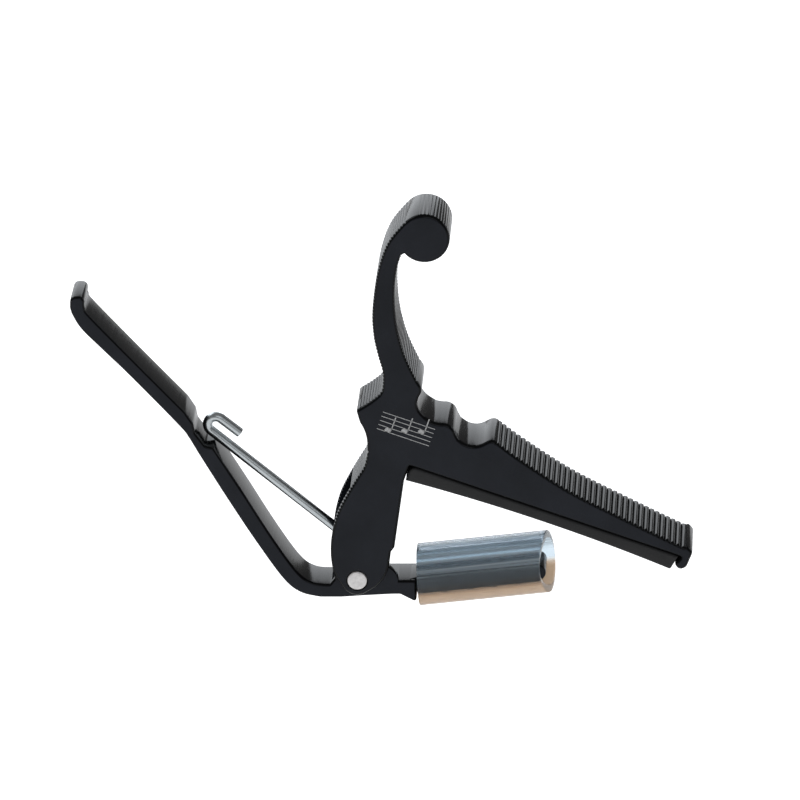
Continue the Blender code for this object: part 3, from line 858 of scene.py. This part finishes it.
body = makeBody(bodySizes)
print("body:", len(body.data.polygons), "faces")
pad = makePad(padSizes)
lever = makeLever(leverSizes)
print("lever:", len(lever.data.polygons), "faces")
sleeve = makeSleeve(sleeveSizes)
rivet = makeRivet(rivetSizes)
spring = makeSpring(springSizes)
mark = makeMark(markSizes)
print("pad, sleeve, rivet, spring and mark made")

for piece, owner, node, slot in ((body, "frame", "body", "coated_aluminium"),
                                 (pad, "frame", "fretboard_pad", "pad_rubber"),
                                 (rivet, "frame", "pivot_rivet", "rivet_steel"),
                                 (lever, "lever", "lever", "coated_aluminium"),
                                 (sleeve, "lever", "neck_sleeve", "sleeve_vinyl")):
    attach(piece, owner)
    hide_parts(node)
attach(mark, "frame")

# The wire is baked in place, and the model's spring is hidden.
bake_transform(spring)
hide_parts("torsion_spring")
print("pieces ride on their bodies")

studio = {
    "aim": (8.65, -6.35, 39.5),
    "distance": 1.5,
    "azimuth": 2.91,
    "elevation": 22.2,
    "lens": 338.6,
    "world": 0.2,
    "lightColour": (0.92, 0.96, 1.0),
    "floor": "#f7f7f7",
    "clearance": 0.022,  # room under the sleeve when the lever is squeezed
    "floorGlow": (0.42, 0.9),
    "lights": {
        "keyLeft": {"place": (-0.85, 0.45, 0.85), "size": (1.3, 0.95), "power": 6.5},
        "backGlow": {"place": (-0.3, 1.3, 0.42), "size": (1.32, 0.7), "power": 5.8},
        "sideRight": {"place": (1.0, 0.6, 0.3), "size": (0.45, 0.7), "power": 2.2},
        "frontFill": {"place": (0.3, -1.2, 0.7), "size": (0.8, 0.6), "power": 1.2},
    },
}


def makeStudio(v):
    aim = placed(*v["aim"])
    a, e = radians(v["azimuth"]), radians(v["elevation"])
    back = Vector((sin(a) * cos(e), -cos(a) * cos(e), sin(e)))
    lensData = bpy.data.cameras.new("camera")
    lensData.lens = v["lens"]
    lensData.sensor_width = 36.0
    lensData.clip_start, lensData.clip_end = 0.05, 20.0
    camera = linked("camera", lensData)
    camera.location = aim + back * v["distance"]
    camera.rotation_mode = "QUATERNION"
    camera.rotation_quaternion = (-back).to_track_quat("-Z", "Y")
    bpy.context.scene.camera = camera

    floorMesh = bpy.data.meshes.new("floor")
    low = cadBox[0][2] - v["clearance"]
    floorMesh.from_pydata([(-6, -6, low), (6, -6, low), (6, 6, low), (-6, 6, low)], [], [(0, 1, 2, 3)])
    floor = linked("floor", floorMesh)
    made, tree = newMaterial("palePaper")
    # The paper is lit through, and shows less of that in reflections than straight on
    path = addNode(tree, "ShaderNodeLightPath").outputs
    straight = addNode(tree, "ShaderNodeMath", {"operation": "MAXIMUM"},
                       {0: path["Is Camera Ray"], 1: path["Is Transmission Ray"]})
    glow = addNode(tree, "ShaderNodeMapRange", {"To Min": v["floorGlow"][0], "To Max": v["floorGlow"][1]},
                   {"Value": straight.outputs[0]})
    shader = addNode(tree, "ShaderNodeBsdfPrincipled",
                     {"Base Color": hexColour(v["floor"]), "Roughness": 0.9, "Specular IOR Level": 0.1,
                      "Emission Color": (1, 1, 1, 1)},
                     {"Emission Strength": glow.outputs["Result"]})
    finishMaterial(tree, shader)
    floorMesh.materials.append(made)

    target = placed(0, 0, 30)
    for name, light in v["lights"].items():
        data = bpy.data.lights.new(name, "AREA")
        data.shape = "RECTANGLE"
        data.size, data.size_y = light["size"]
        data.energy = light["power"]
        data.color = v["lightColour"]
        lamp = linked(name, data)
        lamp.location = light["place"]
        lamp.rotation_mode = "QUATERNION"
        lamp.rotation_quaternion = (target - Vector(light["place"])).to_track_quat("-Z", "Y")
        lamp.visible_camera = False

    world = bpy.data.worlds.new("studio")
    bpy.context.scene.world = world
    world.use_nodes = True
    tree = world.node_tree
    tree.nodes.clear()
    seen = addNode(tree, "ShaderNodeLightPath").outputs["Is Camera Ray"]
    dim = addNode(tree, "ShaderNodeBackground", {"Color": (1, 1, 1, 1), "Strength": v["world"]})
    bright = addNode(tree, "ShaderNodeBackground", {"Color": (1, 1, 1, 1), "Strength": 1.0})
    both = addNode(tree, "ShaderNodeMixShader", links={0: seen, 1: dim.outputs[0], 2: bright.outputs[0]})
    addNode(tree, "ShaderNodeOutputWorld", links={"Surface": both.outputs[0]})
    bpy.context.scene.view_settings.view_transform = "Standard"


makeStudio(studio)
print("camera, floor and lights ready")
